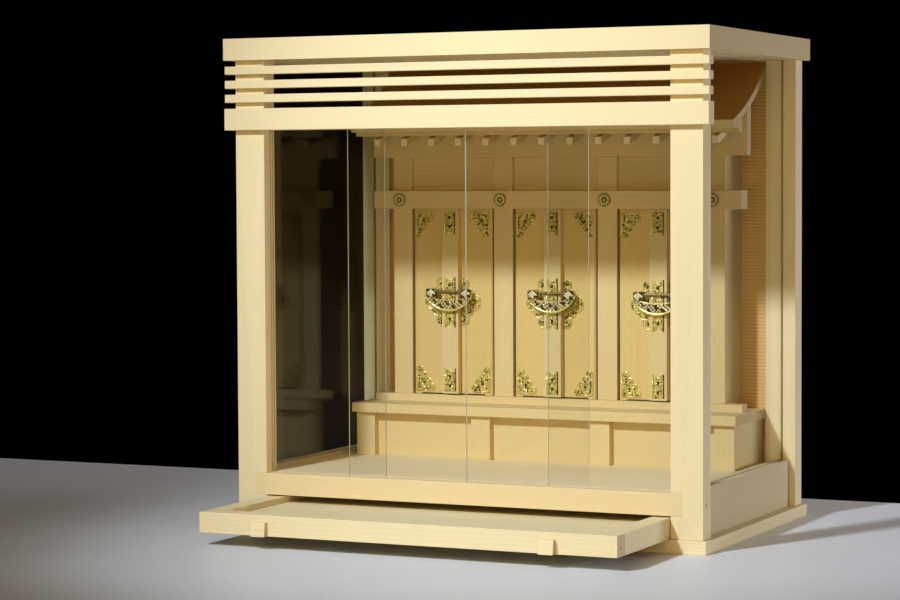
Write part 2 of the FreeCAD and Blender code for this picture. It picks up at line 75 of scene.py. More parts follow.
# A material's node tree, with short forms for the nodes that every material uses
class Tree:
    def __init__(self, name):
        self.material = bpy.data.materials.new(name)
        self.material.use_nodes = True
        self.nodes = self.material.node_tree.nodes
        self.links = self.material.node_tree.links
        self.nodes.clear()
        self.output = self.nodes.new("ShaderNodeOutputMaterial")

    def add(self, kind, **settings):
        node = self.nodes.new(kind)
        for key, value in settings.items():
            setattr(node, key, value)
        return node

    def link(self, source, target):
        self.links.new(source, target)

    def feed(self, value, socket):
        if isinstance(value, (int, float)):
            socket.default_value = value
        elif isinstance(value, tuple):
            socket.default_value = (*value, 1.0)
        else:
            self.link(value, socket)

    def math(self, operation, *values):
        node = self.add("ShaderNodeMath", operation=operation)
        for value, socket in zip(values, node.inputs):
            self.feed(value, socket)
        return node.outputs[0]

    def noise(self, vector, scale, detail=3.0, rough=0.5):
        node = self.add("ShaderNodeTexNoise")
        node.inputs["Scale"].default_value = scale
        node.inputs["Detail"].default_value = detail
        node.inputs["Roughness"].default_value = rough
        self.link(vector, node.inputs["Vector"])
        return node.outputs["Fac"]

    def stretched(self, vector, scale, shift=(0.0, 0.0, 0.0)):
        node = self.add("ShaderNodeMapping")
        node.inputs["Scale"].default_value = scale
        node.inputs["Location"].default_value = shift
        self.link(vector, node.inputs["Vector"])
        return node.outputs["Vector"]

    def remap(self, value, low, high, to_low=0.0, to_high=1.0):
        node = self.add("ShaderNodeMapRange", clamp=True)
        node.inputs["From Min"].default_value = low
        node.inputs["From Max"].default_value = high
        node.inputs["To Min"].default_value = to_low
        node.inputs["To Max"].default_value = to_high
        self.link(value, node.inputs["Value"])
        return node.outputs["Result"]

    def mix(self, share, first, second, blend="MIX"):
        node = self.add("ShaderNodeMix", data_type="RGBA", blend_type=blend)
        for value, socket in ((share, node.inputs["Factor"]), (first, node.inputs[6]),
                              (second, node.inputs[7])):
            self.feed(value, socket)
        return node.outputs[2]

    def blend(self, share, first, second):
        node = self.add("ShaderNodeMixShader")
        self.feed(share, node.inputs[0])
        self.link(first.outputs[0], node.inputs[1])
        self.link(second.outputs[0], node.inputs[2])
        return node

    def bump(self, height, strength, distance):
        node = self.add("ShaderNodeBump")
        node.inputs["Strength"].default_value = strength
        node.inputs["Distance"].default_value = distance
        self.link(height, node.inputs["Height"])
        return node.outputs["Normal"]

    def show(self, shader):
        self.link(shader.outputs[0], self.output.inputs["Surface"])
        return self.material


# Cypress: straight rings along the board's length, fine fibres, darker end grain
RING_CONTRAST = 2.6
WAVE_PERIOD = math.pi / 10
END_GRAIN = ((0.640, 0.500, 0.290), (0.480, 0.345, 0.175))


def along_grain(along, across, length):
    scale = [across] * 3
    scale[along] = length
    return tuple(scale)


def cypress(name, axis, early, late, lines=0.35, spacing=2.2, shift=(0.0, 0.0, 0.0), wander=2.0,
            ends=0.75, above=None, end_pair=END_GRAIN):
    tree = Tree(name)
    coords = tree.add("ShaderNodeTexCoord")
    along = AXES[axis]
    place = tree.stretched(coords.outputs["Object"], (1, 1, 1), shift)

    # Rings drift slowly from side to side along the board
    drift = tree.noise(tree.stretched(place, along_grain(along, 34.0, 2.4)), 1.0, 2.0)
    wave = tree.add("ShaderNodeTexWave", wave_type="RINGS", rings_direction=axis,
                    wave_profile="SAW")
    wave.inputs["Scale"].default_value = WAVE_PERIOD / (spacing * MM)
    wave.inputs["Distortion"].default_value = 0.0
    tree.link(place, wave.inputs["Vector"])
    tree.link(tree.math("MULTIPLY", drift, wander * 6.0), wave.inputs["Phase Offset"])
    ring = tree.math("POWER", wave.outputs["Fac"], RING_CONTRAST)
    fibre = tree.noise(tree.stretched(place, along_grain(along, 2600.0, 45.0)), 1.0, 3.0, 0.6)
    patch = tree.noise(tree.stretched(place, along_grain(along, 16.0, 3.0), (3.1, 1.7, 5.3)), 1.0,
                       3.0)
    amount = tree.math("MULTIPLY", ring, lines)
    amount = tree.math("MULTIPLY", amount, tree.remap(patch, 0.3, 0.7, 0.55, 1.25))
    colour = tree.mix(amount, early, late)

    # Fibres, patches and single boards differ a little in tone
    island = tree.add("ShaderNodeNewGeometry").outputs["Random Per Island"]
    tone = tree.math("ADD", tree.remap(fibre, 0.25, 0.75, 0.955, 1.03),
                     tree.remap(patch, 0.25, 0.75, -0.035, 0.03))
    tone = tree.math("ADD", tone, tree.remap(island, 0.0, 1.0, -0.025, 0.02))
    shade = tree.add("ShaderNodeCombineColor")
    for socket in list(shade.inputs)[:3]:
        tree.link(tone, socket)
    colour = tree.mix(1.0, colour, shade.outputs[0], "MULTIPLY")

    # End grain on the faces across the board, and painted shade on the upward faces where asked
    # for
    split = tree.add("ShaderNodeSeparateXYZ")
    tree.link(coords.outputs["Normal"], split.inputs[0])
    end_mask = tree.remap(tree.math("ABSOLUTE", split.outputs[along]), 0.80, 0.95)
    speck = tree.noise(place, 2400.0, 3.0, 0.7)
    end_tone = tree.mix(tree.math("MULTIPLY", ring, 0.55), *end_pair)
    end_tone = tree.mix(tree.remap(speck, 0.35, 0.65, 0.0, 0.35), end_tone,
                        tuple(0.8 * c for c in end_pair[1]))
    colour = tree.mix(tree.math("MULTIPLY", end_mask, ends), colour, end_tone)
    if above:
        colour = tree.mix(tree.remap(split.outputs[2], 0.25, 0.45), colour,
                          tree.mix(ring, *above))

    shader = tree.add("ShaderNodeBsdfPrincipled")
    shader.inputs["Specular IOR Level"].default_value = 0.28
    tree.link(colour, shader.inputs["Base Color"])
    tree.link(tree.remap(fibre, 0.2, 0.8, 0.50, 0.68), shader.inputs["Roughness"])
    height = tree.math("ADD", tree.math("MULTIPLY", fibre, 0.6),
                       tree.math("MULTIPLY", ring, -0.4))
    tree.link(tree.bump(height, 0.25, 0.12 * MM), shader.inputs["Normal"])
    return tree.show(shader)


# Gilt brass: dark and pale are its colours, and black specks spread over a stamped plate are
# painted shade and dark reflection
SPECK_SHADE_COLOUR = (0.030, 0.022, 0.006)


def gilt(name, dark, pale, rough, bump, grain=900.0, shade_specks=0.0, metal=0.55):
    tree = Tree(name)
    place = tree.add("ShaderNodeTexCoord").outputs["Object"]
    wear = tree.noise(place, 260.0, 3.0)
    colour = tree.mix(tree.remap(wear, 0.3, 0.7), dark, pale)
    beaten = tree.noise(place, grain, 2.0, 0.6)
    # Black specks from noise and cells: painted shade and dark reflection
    if shade_specks:
        cells = tree.add("ShaderNodeTexVoronoi", feature="F1")
        cells.inputs["Scale"].default_value = grain * 0.5
        tree.link(place, cells.inputs["Vector"])
        low = tree.math("ADD", beaten, tree.math("MULTIPLY", cells.outputs["Distance"], 0.35))
        colour = tree.mix(tree.remap(low, shade_specks, shade_specks + 0.09), colour, SPECK_SHADE_COLOUR)
    shader = tree.add("ShaderNodeBsdfPrincipled")
    shader.inputs["Metallic"].default_value = metal
    shader.inputs["Specular IOR Level"].default_value = 0.8
    tree.link(colour, shader.inputs["Base Color"])
    tree.link(tree.remap(wear, 0.3, 0.7, rough, rough + 0.1), shader.inputs["Roughness"])
    tree.link(tree.bump(beaten, bump, 0.5 * MM), shader.inputs["Normal"])
    return tree.show(shader)


# Clear glass: a see-through film with a weak mirror, and ground edges that catch the light
def clear_glass(name, edge_axes, edge_colour):
    tree = Tree(name)
    coords = tree.add("ShaderNodeTexCoord")
    view = tree.add("ShaderNodeLayerWeight")
    view.inputs["Blend"].default_value = 0.5
    grazing = tree.math("POWER", view.outputs["Facing"], 5.0)
    mirror = tree.math("MULTIPLY_ADD", grazing, 0.42, 0.034)
    streak = tree.noise(tree.stretched(coords.outputs["Object"], (14.0, 14.0, 3.0)), 1.0, 2.0)
    film = tree.add("ShaderNodeBsdfTransparent")
    film.inputs["Color"].default_value = (0.985, 0.992, 0.985, 1.0)
    gloss = tree.add("ShaderNodeBsdfGlossy")
    tree.link(tree.remap(streak, 0.3, 0.7, 0.012, 0.03), gloss.inputs["Roughness"])
    pane = tree.blend(mirror, film, gloss)

    # Faces square to any of the edge axes are ground
    split = tree.add("ShaderNodeSeparateXYZ")
    tree.link(coords.outputs["Normal"], split.inputs[0])
    sides = [tree.remap(tree.math("ABSOLUTE", split.outputs[AXES[axis]]), 0.3, 0.6)
             for axis in edge_axes]
    ground = tree.add("ShaderNodeBsdfPrincipled")
    dust = tree.noise(coords.outputs["Object"], 900.0, 2.0)
    tree.link(tree.mix(tree.remap(dust, 0.3, 0.7), edge_colour,
                       tuple(c * 0.86 for c in edge_colour)), ground.inputs["Base Color"])
    ground.inputs["Roughness"].default_value = 0.22
    through = tree.add("ShaderNodeBsdfTranslucent")
    through.inputs["Color"].default_value = (*edge_colour, 1.0)
    edge = tree.blend(0.4, ground, through)
    return tree.show(tree.blend(tree.math("MAXIMUM", *sides), pane, edge))


def dress(names, material):
    for name in names:
        mesh = nodes[name].data
        mesh.materials.clear()
        mesh.materials.append(material)


# Planed boards have lightly broken edges
def eased(names, width):
    for name in names:
        piece = nodes[name]
        weld = piece.modifiers.new("weld", "WELD")
        weld.merge_threshold = 0.01 * MM
        bevel = piece.modifiers.new("eased_edges", "BEVEL")
        bevel.width = width * MM
        bevel.segments = 2
        bevel.limit_method = "ANGLE"
        bevel.angle_limit = math.radians(35)
        bevel.harden_normals = False
        for face in piece.data.polygons:
            face.use_smooth = False


# Each row: axis of the grain, where in the log the board lies, its colours, its pieces
CASE = ((0.815, 0.715, 0.465), (0.700, 0.570, 0.330))
SILL = ((0.770, 0.640, 0.390), (0.660, 0.510, 0.280))
# Inner floor: the case wood made paler, as painted light and glass glare
FLOOR = ((0.930, 0.790, 0.520), (0.820, 0.660, 0.390))
SIDE = ((0.640, 0.540, 0.345), (0.540, 0.430, 0.240))
INNER = ((0.745, 0.605, 0.325), (0.635, 0.460, 0.205))
LEAF = ((0.720, 0.555, 0.235), (0.625, 0.445, 0.165))
# Back panel: its own grain, in a darker and more saturated copy of the wood as painted warm shade
BACK = ((0.760, 0.530, 0.235), (0.480, 0.275, 0.080))
ROOF = ((0.760, 0.610, 0.330), (0.620, 0.440, 0.200))
# Darker orange for the roof's upward faces: painted shade
ROOF_TOP_SHADE = ((0.620, 0.330, 0.080), (0.440, 0.205, 0.035))
# Pale end faces for the rafters: a painted highlight where light falls on their ends
LIT_RAFTER_ENDS = ((0.950, 0.860, 0.640), (0.860, 0.740, 0.500))
BOARDS = [
    ("X", (0.04, 0.19, 0.31), CASE, ["top_board", "glass_head_rail"]),
    ("X", (0.09, 0.27, 0.36), SILL, ["front_sill"]),
    ("X", (0.11, -0.17, 0.23), CASE, ["tray_ends", "tray_pulls", "plinth_long_strips"]),
    ("X", (0.21, -0.31, 0.12), CASE, ["bottom_board", "tray_bottom"]),
    ("X", (0.37, -0.16, 0.22), FLOOR, ["floor_board"]),
    ("X", (0.17, -0.26, 0.32), INNER, ["pedestal_top", "pedestal_skirt"]),
    ("X", (0.35, 0.12, -0.27), INNER, ["shrine_sill", "lintel", "frieze_panels", "beam",
                                       "eave_board"]),
    ("Y", (0.29, 0.33, 0.21), CASE, ["plinth_side_strips", "tray_sides"]),
    ("Y", (0.19, 0.23, 0.41), SIDE, ["side_boards"]),
    ("Y", (0.24, 0.13, 0.26), INNER, ["pedestal_sides"]),
    ("Z", (0.27, 0.16, 0.11), CASE, ["posts_front", "posts_rear"]),
    ("Z", (-0.33, 0.21, 0.05), INNER, ["shrine_pillars", "pedestal_legs", "shrine_sides"]),
    ("Z", (-0.21, 0.31, 0.15), LEAF, ["door_%d_%s" % (number, side) for number in (1, 2, 3)
                                      for side in ("left", "right")]),
    ("Z", (0.19, -0.27, 0.4), INNER, ["door_1_batten", "door_2_batten", "door_3_batten"]),
]
wood_nodes = []
for number, (axis, shift, colours, names) in enumerate(BOARDS, start=1):
    dress(names, cypress("cypress_%d" % number, axis, *colours, shift=shift))
    wood_nodes += names
for names, material in (
        (["back_panel"], cypress("cypress_back", "X", *BACK, lines=0.8, spacing=3.7,
                                 shift=(0.1, -0.02, 0.9), wander=0.35)),
        (["shrine_roof"], cypress("cypress_roof", "X", *ROOF, shift=(0.3, 0.24, 0.1),
                                  above=ROOF_TOP_SHADE)),
        (["header_board", "louvre_slats"], cypress("cypress_front_bars", "X", *CASE,
                                                   shift=(0.15, 0.22, -0.19), ends=0.0)),
        # The rafters' end faces take the pale painted highlight in place of darker end grain
        (["rafters"], cypress("cypress_rafters", "Y", *INNER, shift=(0.24, 0.13, 0.26), ends=1.0,
                              end_pair=LIT_RAFTER_ENDS))):
    dress(names, material)
    wood_nodes += names
eased(wood_nodes, 0.45)

# Brass of the CAD pieces, then of the relief on them
# Plates and locks carry black specks of painted shade and dark reflection
dress([name for name in nodes if name.startswith("brass_")],
      gilt("brass_plates", (0.86, 0.67, 0.15), (1.0, 0.90, 0.32), 0.24, 0.9, 620.0, shade_specks=0.70))
# The bosses' dark base is painted shade in the grooves between their bright petals
dress(["lintel_bosses"],
      gilt("brass_bosses_shaded", (0.16, 0.11, 0.03), (0.34, 0.25, 0.07), 0.30, 0.4, 700.0))
dress([name for name in nodes if name.startswith("lock_")],
      gilt("brass_locks", (0.60, 0.46, 0.12), (1.0, 0.86, 0.36), 0.16, 0.9, 700.0, shade_specks=0.58))
RAISED = gilt("brass_raised", (0.92, 0.74, 0.22), (1.0, 0.90, 0.46), 0.14, 0.25)
# Near-black gilt for the nail heads, and painted shade: the line by each strip's right edge, the
# dark scale beads and the dark lower side of each lock head
NAILS_AND_SHADE = gilt("brass_nails_and_shade", (0.030, 0.020, 0.006), (0.10, 0.07, 0.02), 0.35, 0.2, 1200.0)
SCALES = gilt("brass_scales", (0.90, 0.78, 0.40), (1.0, 0.95, 0.72), 0.10, 0.25)
PETALS = gilt("brass_petals", (1.0, 0.88, 0.36), (1.0, 0.95, 0.55), 0.20, 0.1, metal=0.05)
# Near-white gilt for the upper side of each lock head: a painted highlight
LIT_HEAD_GILT = gilt("brass_lit_heads", (1.0, 0.90, 0.58), (1.0, 0.96, 0.74), 0.16, 0.1, metal=0.35)
# Dark gilt for the lock bar: painted shade and dark reflection
BAR_SHADE = gilt("brass_bar_shade", (0.14, 0.085, 0.03), (0.30, 0.20, 0.07), 0.35, 0.2)

FRONT_TRACK = ["glass_pane_2", "glass_pane_3"]
REAR_TRACK = ["glass_pane_1", "glass_pane_4"]
dress(FRONT_TRACK, clear_glass("glass_front_track", "XZ", (0.74, 0.72, 0.56)))
dress(REAR_TRACK, clear_glass("glass_rear_track", "XZ", (0.66, 0.65, 0.50)))
dress(["side_glass"], clear_glass("glass_side", "YZ", (0.55, 0.66, 0.56)))
for name in FRONT_TRACK + REAR_TRACK + ["side_glass"]:
    nodes[name].visible_shadow = False


# Relief on the brass: raised lines and beads, laid on an upright plane and standing out of it
class Relief:
    def __init__(self, name, body, plane_y, material=RAISED):
        self.name = name
        self.body = body
        self.y = plane_y
        self.material = material
        self.verts = []
        self.faces = []

    def tube(self, points, radius, taper=True, sides=6):
        count = len(points)
        start = len(self.verts)
        for k, (x, z) in enumerate(points):
            before = points[max(k - 1, 0)]
            after = points[min(k + 1, count - 1)]
            dx, dz = after[0] - before[0], after[1] - before[1]
            length = math.hypot(dx, dz) or 1.0
            nx, nz = -dz / length, dx / length
            size = radius
            if taper:
                size = radius * max(0.22, math.sin(math.pi * (0.12 + 0.8 * k / (count - 1))))
            for side in range(sides):
                turn = 2 * math.pi * side / sides
                across = size * math.cos(turn)
                self.verts.append((x + nx * across, self.y - size * math.sin(turn),
                                   z + nz * across))
        for k in range(count - 1):
            for side in range(sides):
                a = start + k * sides + side
                b = start + k * sides + (side + 1) % sides
                self.faces.append((a, b, b + sides, a + sides))
        self.faces.append(tuple(start + side for side in reversed(range(sides))))
        last = start + (count - 1) * sides
        self.faces.append(tuple(last + side for side in range(sides)))

    def bead(self, x, z, rx, rz, height, turn=0.0, around=10, rings=3):
        start = len(self.verts)
        cos_t, sin_t = math.cos(turn), math.sin(turn)
        self.verts.append((x, self.y - height, z))
        for ring in range(1, 2 * rings):
            lean = math.pi / 2 * ring / rings
            for k in range(around):
                angle = 2 * math.pi * k / around
                u = rx * math.sin(lean) * math.cos(angle)
                v = rz * math.sin(lean) * math.sin(angle)
                self.verts.append((x + u * cos_t - v * sin_t, self.y - height * math.cos(lean),
                                   z + u * sin_t + v * cos_t))
        self.verts.append((x, self.y + height, z))
        for k in range(around):
            self.faces.append((start, start + 1 + (k + 1) % around, start + 1 + k))
        for ring in range(2 * rings - 2):
            row = start + 1 + ring * around
            for k in range(around):
                nxt = (k + 1) % around
                self.faces.append((row + k, row + nxt, row + around + nxt, row + around + k))
        end = len(self.verts) - 1
        row = end - around
        for k in range(around):
            self.faces.append((end, row + k, row + (k + 1) % around))

    def finish(self, smooth=True):
        mesh = bpy.data.meshes.new(self.name)
        mesh.from_pydata(self.verts, [], self.faces)
        mesh.validate()
        mesh.update()
        for face in mesh.polygons:
            face.use_smooth = smooth
        mesh.materials.append(self.material)
        piece = bpy.data.objects.new(self.name, mesh)
        bpy.context.scene.collection.objects.link(piece)
        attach(piece, self.body)


# A flat drawing in millimetres, laid on a relief at an origin and mirrored by its two signs
class Drawing:
    def __init__(self, relief, origin, sx=1, sz=1):
        self.relief = relief
        self.origin = origin
        self.sx = sx
        self.sz = sz

    def place(self, x, z):
        return self.origin[0] + self.sx * x * MM, self.origin[1] + self.sz * z * MM

    def tube(self, points, radius, taper=True):
        self.relief.tube([self.place(x, z) for x, z in points], radius * MM, taper)

    def bead(self, x, z, rx, rz, height, turn=0.0, around=10, rings=3):
        self.relief.bead(*self.place(x, z), rx * MM, rz * MM, height * MM,
                         turn * self.sx * self.sz, around, rings)


def arc(cx, cz, radius, start, end, steps=10):
    return [(cx + radius * math.cos(start + (end - start) * k / steps),
             cz + radius * math.sin(start + (end - start) * k / steps))
            for k in range(steps + 1)]


def scroll(cx, cz, outer, inner, turns, start, way=1.0, steps=16):
    points = []
    for k in range(steps + 1):
        share = k / steps
        angle = start + way * 2 * math.pi * turns * share
        radius = outer + (inner - outer) * share
        points.append((cx + radius * math.cos(angle), cz + radius * math.sin(angle)))
    return points


def bend(a, b, bulge, steps=8):
    mx, mz = (a[0] + b[0]) / 2, (a[1] + b[1]) / 2
    dx, dz = b[0] - a[0], b[1] - a[1]
    cx, cz = mx - dz * bulge, mz + dx * bulge
    points = []
    for k in range(steps + 1):
        t = k / steps
        points.append(((1 - t) ** 2 * a[0] + 2 * t * (1 - t) * cx + t * t * b[0],
                       (1 - t) ** 2 * a[1] + 2 * t * (1 - t) * cz + t * t * b[1]))
    return points


# Sizes of the brass plates in millimetres; their widths are shares of the bare leaf
PLATE_RISE = 0.8
CORNER_SHARE, CORNER_HEIGHT = 0.60, 28.5
CORNER_LOBE = 4.4
CORNER_INSET, CORNER_FOOT, CORNER_HEAD = 3.0, 1.8, 3.7
FLOWER_SHARE, FLOWER_HEIGHT = 0.64, 54.0
STRIP_HALF, STRIP_NEAR, STRIP_FAR, STRIP_MIDDLE_HALF = 6.7, 2.9, 28.6, 28
# Place and ends of the dark line along each strip's right edge, a painted shadow
STRIP_SHADOW_X, STRIP_SHADOW_NEAR, STRIP_SHADOW_FAR, STRIP_SHADOW_MIDDLE = 6.3, 3.2, 28.2, 27.5
STRIP_NAIL_NEAR, STRIP_NAIL_FAR = 9, 19
EDGE_LINE = 0.8


# Corner plate: two straight edges, four lobes on the slope, and leaves from the corner
def corner_relief(drawing, width, height):
    lobe = min(CORNER_LOBE, width / 4)
    run, rise = width - 2 * lobe, height - 2 * lobe
    drawing.tube([(0.8, 0.8), (width - lobe, 0.8)], EDGE_LINE, False)
    drawing.tube([(0.8, 0.8), (0.8, height - lobe)], EDGE_LINE, False)
    out = math.atan2(rise, -run) - math.pi / 2
    for k in range(4):
        share = k / 3
        cx, cz = lobe + run * (1 - share), lobe + rise * share
        drawing.tube(arc(cx, cz, lobe - 0.7, out - 1.9, out + 1.9), 0.7, False)
        drawing.bead(cx, cz, 1.15, 1.15, 1.5)
        drawing.tube(bend((3.6, 3.6), (cx * 0.70, cz * 0.70), 0.3 if k < 2 else -0.3), 0.85)
    for turn, far in ((0.32, 10.5), (0.80, 9.0), (1.22, 12.0)):
        drawing.bead(far * math.cos(turn), far * math.sin(turn), 2.6, 1.0, 1.1, turn)
    drawing.bead(width - 8.6, 3.4, 1.6, 1.0, 1.1)
    drawing.bead(3.4, height - 9.4, 1.0, 1.6, 1.1)


# Strip on the batten: a lit left edge, swallow tails, and paired scrolls between round beads
def strip_relief(relief, middle, z0, z1, tail_down, tail_up):
    drawing = Drawing(relief, (middle, z0))
    half = STRIP_HALF
    length = (z1 - z0) / MM
    drawing.tube([(0.8 - half, 0.8), (0.8 - half, length - 0.8)], EDGE_LINE, False)
    if tail_down:
        drawing.tube([(-half + 0.6, 0.6), (0, 4.4), (half - 0.6, 0.6)], 0.45, False)
    if tail_up:
        drawing.tube([(-half + 0.6, length - 0.6), (0, length - 4.4), (half - 0.6, length - 0.6)],
                     0.45, False)
    low = 7.0 if tail_down else 3.5
    high = length - (7.0 if tail_up else 3.5)
    count = max(2, round((high - low) / 5.2))
    for k in range(count + 1):
        z = low + (high - low) * k / count
        if k % 2:
            drawing.bead(0, z, 1.7, 1.7, 1.7)
            continue
        for side in (-1, 1):
            drawing.tube(scroll(side * 2.4, z, 1.8, 0.9, 0.75, math.pi / 2 * (1 - side), side),
                         0.62)


# Half of the flower plate: a large lobe at the middle, and two smaller ones above and below
def flower_relief(relief, origin, side, reach, height):
    half = height / 2
    tab = 0.24 * half
    big = 0.42 * reach
    level = Drawing(relief, origin, side)
    level.tube(arc(0.58 * reach, 0, big - 0.8, -1.35, 1.35, 16), EDGE_LINE, False)
    level.tube(arc(0.58 * reach, 0, big - 3.4, -1.1, 1.1, 12), 0.55, False)
    level.bead(0.60 * reach, 0, 2.4, 1.4, 1.4)
    for up in (-1, 1):
        drawing = Drawing(relief, origin, side, up)
        drawing.tube(arc(0.35 * reach, half / 3, 0.27 * half - 0.7, 0.45, 2.1, 8), 0.7, False)
        drawing.tube(arc(0.16 * reach, half - tab, tab - 0.7, -0.75, 1.85, 12), 0.7, False)
        drawing.tube(scroll(0.58 * reach, 5.6, 2.9, 1.3, 0.8, -0.6, 1), 0.7)
        drawing.tube(scroll(0.34 * reach, half / 3 + 0.8, 2.6, 1.1, 0.8, 0.4, -1), 0.7)
        drawing.bead(0.80 * reach, 3.6, 1.9, 0.9, 1.0, 0.9)
        drawing.bead(0.16 * reach, half - 2 * tab - 2.6, 1.1, 1.9, 1.2)


# Crescent lock: depths of its lower and upper arc under the tips, its height over the middle of
# the door, its share of the bay, and its heads
LOCK_DROP, LOCK_DIP = 19.0, 6.4
LOCK_TIP, LOCK_SHARE, LOCK_HOLLOW = 8.6, 0.62, 1.0
HEAD_INSET, HEAD_WIDTH = 8.7, 14.4
LOCK_CURVE_STEPS = 32
SCALE_ROWS, SCALE_COUNT = 4, 13
SCALE_LIMIT = 1.45


def sag(x, half, depth):
    radius = (half * half + depth * depth) / (2 * depth)
    return math.sqrt(max(radius * radius - x * x, 0)) - (radius - depth)


def crescent(x, half, share):
    low, high = -sag(x, half, LOCK_DROP), -sag(x, half, LOCK_DIP)
    return low + (high - low) * share


# Rims run along both arcs, scales cover the crescent, and a pointed head sits at each tip; the
# near-black beads are painted shade, the pale head tops a painted highlight
def lock_relief(reliefs, origin, half):
    scales, rims, dark_scales, points, shaded_head_sides = (Drawing(relief, origin) for relief in reliefs)
    wide = half - 0.4
    for share, lift, radius in ((0.0, 1.5, 1.6), (1.0, -0.2, 0.55)):
        steps = [-wide + 2 * wide * k / LOCK_CURVE_STEPS for k in range(LOCK_CURVE_STEPS + 1)]
        rims.tube([(x, crescent(x, half, share) + lift) for x in steps], radius)
    span = half - 3.2
    for row in range(SCALE_ROWS):
        share = 0.29 + 0.54 * row / (SCALE_ROWS - 1)
        odd = row % 2
        for k in range(SCALE_COUNT - odd):
            x = -span + 2.6 + (2 * span - 5.2) * (k + 0.5 * odd) / (SCALE_COUNT - 1)
            thick = sag(x, half, LOCK_DROP) - sag(x, half, LOCK_DIP)
            if thick < 3.5:
                continue
            size = 0.125 * thick
            # Every fourth scale bead is near-black: painted shade and dark reflection among the
            # scales
            drawing = scales if (k + row) % 4 else dark_scales
            drawing.bead(x, crescent(x, half, share), min(SCALE_LIMIT, size * 1.1),
                         min(SCALE_LIMIT, size), 1.4, 0.0, 8, 2)
    for side in (-1, 1):
        head = side * (half - HEAD_INSET)
        # Each head: a pale upper bead as a painted highlight, and a near-black one to its lower
        # right as painted shade
        points.bead(head, 1.4, 5.6, 4.6, 2.6, 0.0, 4, 1)
        shaded_head_sides.bead(head + 2.6, -0.6, 2.2, 2.0, 2.2, 0.0, 4, 1)


# Nail heads of the corner and flower plates
NAIL_RADIUS, NAIL_HEIGHT = 1.3, 1.2
FLOWER_NAIL_SHARE, FLOWER_NAIL_Z = 0.17, 20.5


def nail_head(drawing, x, z):
    drawing.bead(x, z, NAIL_RADIUS, NAIL_RADIUS, NAIL_HEIGHT, 0.0, 8, 2)


# What the brass of one bay is measured from: the outer edges of its leaves and their batten
class Bay:
    def __init__(self, number):
        left_low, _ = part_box("door_%d_left" % number)
        _, right_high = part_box("door_%d_right" % number)
        bar_low, bar_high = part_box("door_%d_batten" % number)
        lock_low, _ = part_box("lock_%d" % number)
        self.number = number
        self.edges = {"left": (-1, left_low.x, bar_low.x), "right": (1, right_high.x, bar_high.x)}
        self.span = right_high.x - left_low.x
        self.bare = (bar_low.x - left_low.x) / MM
        self.low, self.high = bar_low.z, bar_high.z
        self.middle = (bar_low.x + bar_high.x) / 2
        self.plate_y = left_low.y - PLATE_RISE * MM
        self.strip_y = bar_low.y - PLATE_RISE * MM
        self.lock_y = lock_low.y
        self.left_body = "leaf_%d_left" % number


def leaf_brass(bay, label):
    side, edge_x, beside = bay.edges[label]
    body = "leaf_%d_%s" % (bay.number, label)
    tail = "%d_%s" % (bay.number, label)
    width, reach = CORNER_SHARE * bay.bare, FLOWER_SHARE * bay.bare
    corner_x = edge_x - side * CORNER_INSET * MM
    corners = ((-1, (corner_x, bay.low + CORNER_FOOT * MM)),
               (1, (corner_x, bay.high - CORNER_HEAD * MM)))

    relief = Relief("corner_scrolls_" + tail, body, bay.plate_y)
    for up, corner in corners:
        corner_relief(Drawing(relief, corner, -side, -up), width, CORNER_HEIGHT)
    relief.finish()

    relief = Relief("flower_scrolls_" + tail, body, bay.plate_y)
    flower_relief(relief, (beside, MIDDLE_Z), side, reach, FLOWER_HEIGHT)
    relief.finish()

    nails = Relief("plate_nails_" + tail, body, bay.plate_y, NAILS_AND_SHADE)
    for up in (-1, 1):
        nail_head(Drawing(nails, (beside, MIDDLE_Z), side, up), FLOWER_NAIL_SHARE * reach,
                  FLOWER_NAIL_Z)
    for up, corner in corners:
        for x, z in ((4.2, 4.6), (width - 5.0, 4.2), (4.0, 23.5), (9.5, 9.5), (3.6, 13.5),
                     (13.0, 3.4)):
            nail_head(Drawing(nails, corner, -side, -up), x, z)
    nails.finish()


def batten_brass(bay):
    relief = Relief("strip_scrolls_%d" % bay.number, bay.left_body, bay.strip_y)
    strip_relief(relief, bay.middle, bay.low + STRIP_NEAR * MM, bay.low + STRIP_FAR * MM,
                 False, True)
    strip_relief(relief, bay.middle, MIDDLE_Z - STRIP_MIDDLE_HALF * MM,
                 MIDDLE_Z + STRIP_MIDDLE_HALF * MM, True, True)
    strip_relief(relief, bay.middle, bay.high - STRIP_FAR * MM, bay.high - STRIP_NEAR * MM,
                 True, False)
    relief.finish()


def lock_brass(bay):
    half = LOCK_SHARE * bay.span / 2 / MM
    tip_z = MIDDLE_Z + LOCK_TIP * MM
    front_y = bay.lock_y + LOCK_HOLLOW * MM
    # Dark scales and the dark lower side of each head are painted shade; the pale upper side of
    # each head is a painted highlight
    kinds = (("scales", front_y, SCALES), ("rims", front_y, RAISED), ("dark_scales", front_y, NAILS_AND_SHADE),
             ("points", bay.lock_y, LIT_HEAD_GILT), ("shaded_head_sides", bay.lock_y, NAILS_AND_SHADE))
    reliefs = [Relief("lock_%s_%d" % (kind, bay.number), bay.left_body, plane_y, material)
               for kind, plane_y, material in kinds]
    lock_relief(reliefs, (bay.middle, tip_z), half)
    for relief in reliefs:
        relief.finish(smooth=relief.y == front_y)

    # The bar between the heads is darker than the rest of the lock: painted shade and dark
    # reflection on the thin rod
    lock = nodes["lock_%d" % bay.number]
    lock.data.materials.append(BAR_SHADE)
    for face in lock.data.polygons:
        centre = lock.matrix_world @ face.center
        if centre.z > tip_z and abs(centre.x - bay.middle) < (half - HEAD_WIDTH) * MM:
            face.material_index = 1


